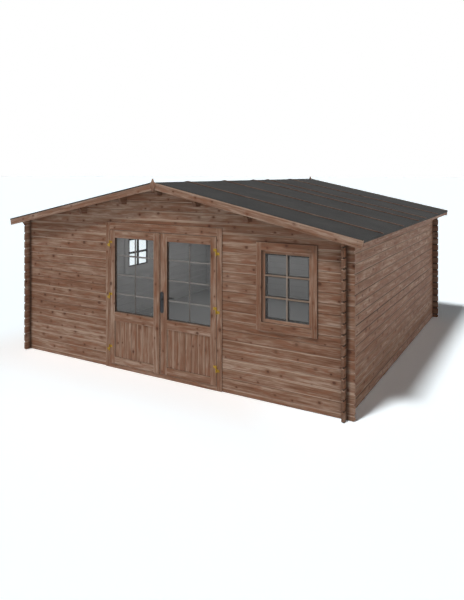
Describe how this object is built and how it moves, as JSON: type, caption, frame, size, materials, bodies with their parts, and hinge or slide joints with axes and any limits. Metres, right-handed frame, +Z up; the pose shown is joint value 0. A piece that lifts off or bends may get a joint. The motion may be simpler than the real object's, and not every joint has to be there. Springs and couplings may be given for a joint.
{
  "type": "garden house",
  "caption": "Log-built garden house with interlocking corners, a low felted gable roof on purlins, a glazed double door that swings outwards and fixed windows.",
  "frame": {"origin": "on the ground under the middle of the house", "axes": "+Z up, +X to the right along the front wall, +Y from the front wall to the rear wall"},
  "size_m": [5.314, 5.2068, 2.5244],
  "materials": {
    "logs": "stained, knotty",
    "boards": "stained",
    "felt": "gritty",
    "glass": "clear",
    "brass": "satin",
    "lock": "black, satin"
  },
  "bodies": {
    "house": {"front_wall_left": "logs", "front_wall_right": "logs", "front_gable": "logs", "left_wall": "logs", "right_wall": "logs", "rear_wall": "logs", "rear_gable": "logs", "left_wall_plate": "logs", "right_wall_plate": "logs", "ridge_purlin": "boards", "left_purlins": "boards", "right_purlins": "boards", "left_roof_deck": "boards", "right_roof_deck": "boards", "left_felt_battens": "boards", "right_felt_battens": "boards", "front_barge_boards": "boards", "rear_barge_boards": "boards", "finials": "boards", "eave_boards": "boards", "door_left_jamb": "boards", "door_right_jamb": "boards", "door_head": "boards", "door_sill": "boards", "front_window_frame": "boards", "front_window_sash": "boards", "left_window_frame": "boards", "left_window_sash": "boards", "left_felt": "felt", "right_felt": "felt", "front_window_glass": "glass", "left_window_glass": "glass", "jamb_hinges": "brass"},
    "left_door": {"left_leaf_frame": "boards", "left_leaf_panel": "boards", "left_leaf_glass": "glass", "left_leaf_hinges": "brass", "left_leaf_strip": "boards"},
    "right_door": {"right_leaf_frame": "boards", "right_leaf_panel": "boards", "right_leaf_glass": "glass", "right_leaf_hinges": "brass", "lock_plates": "lock", "outer_knob": "lock"},
    "lever": {"inner_lever": "lock"}
  },
  "joints": [
    {"name": "left_door_hinge", "type": "hinge", "parent": "house", "child": "left_door", "pos_m": [-0.837, -2.451, 0.958], "axis": [0, 0, -1], "range_deg": [0, 165]},
    {"name": "right_door_hinge", "type": "hinge", "parent": "house", "child": "right_door", "pos_m": [0.837, -2.451, 0.958], "axis": [0, 0, 1], "range_deg": [0, 165]},
    {"name": "lever_turn", "type": "hinge", "parent": "right_door", "child": "lever", "pos_m": [0.032, -2.398, 1.003], "axis": [0, 1, 0], "range_deg": [0, 40], "stiffness_Nm_per_rad": 2, "springref_deg": -17.19}
  ]
}
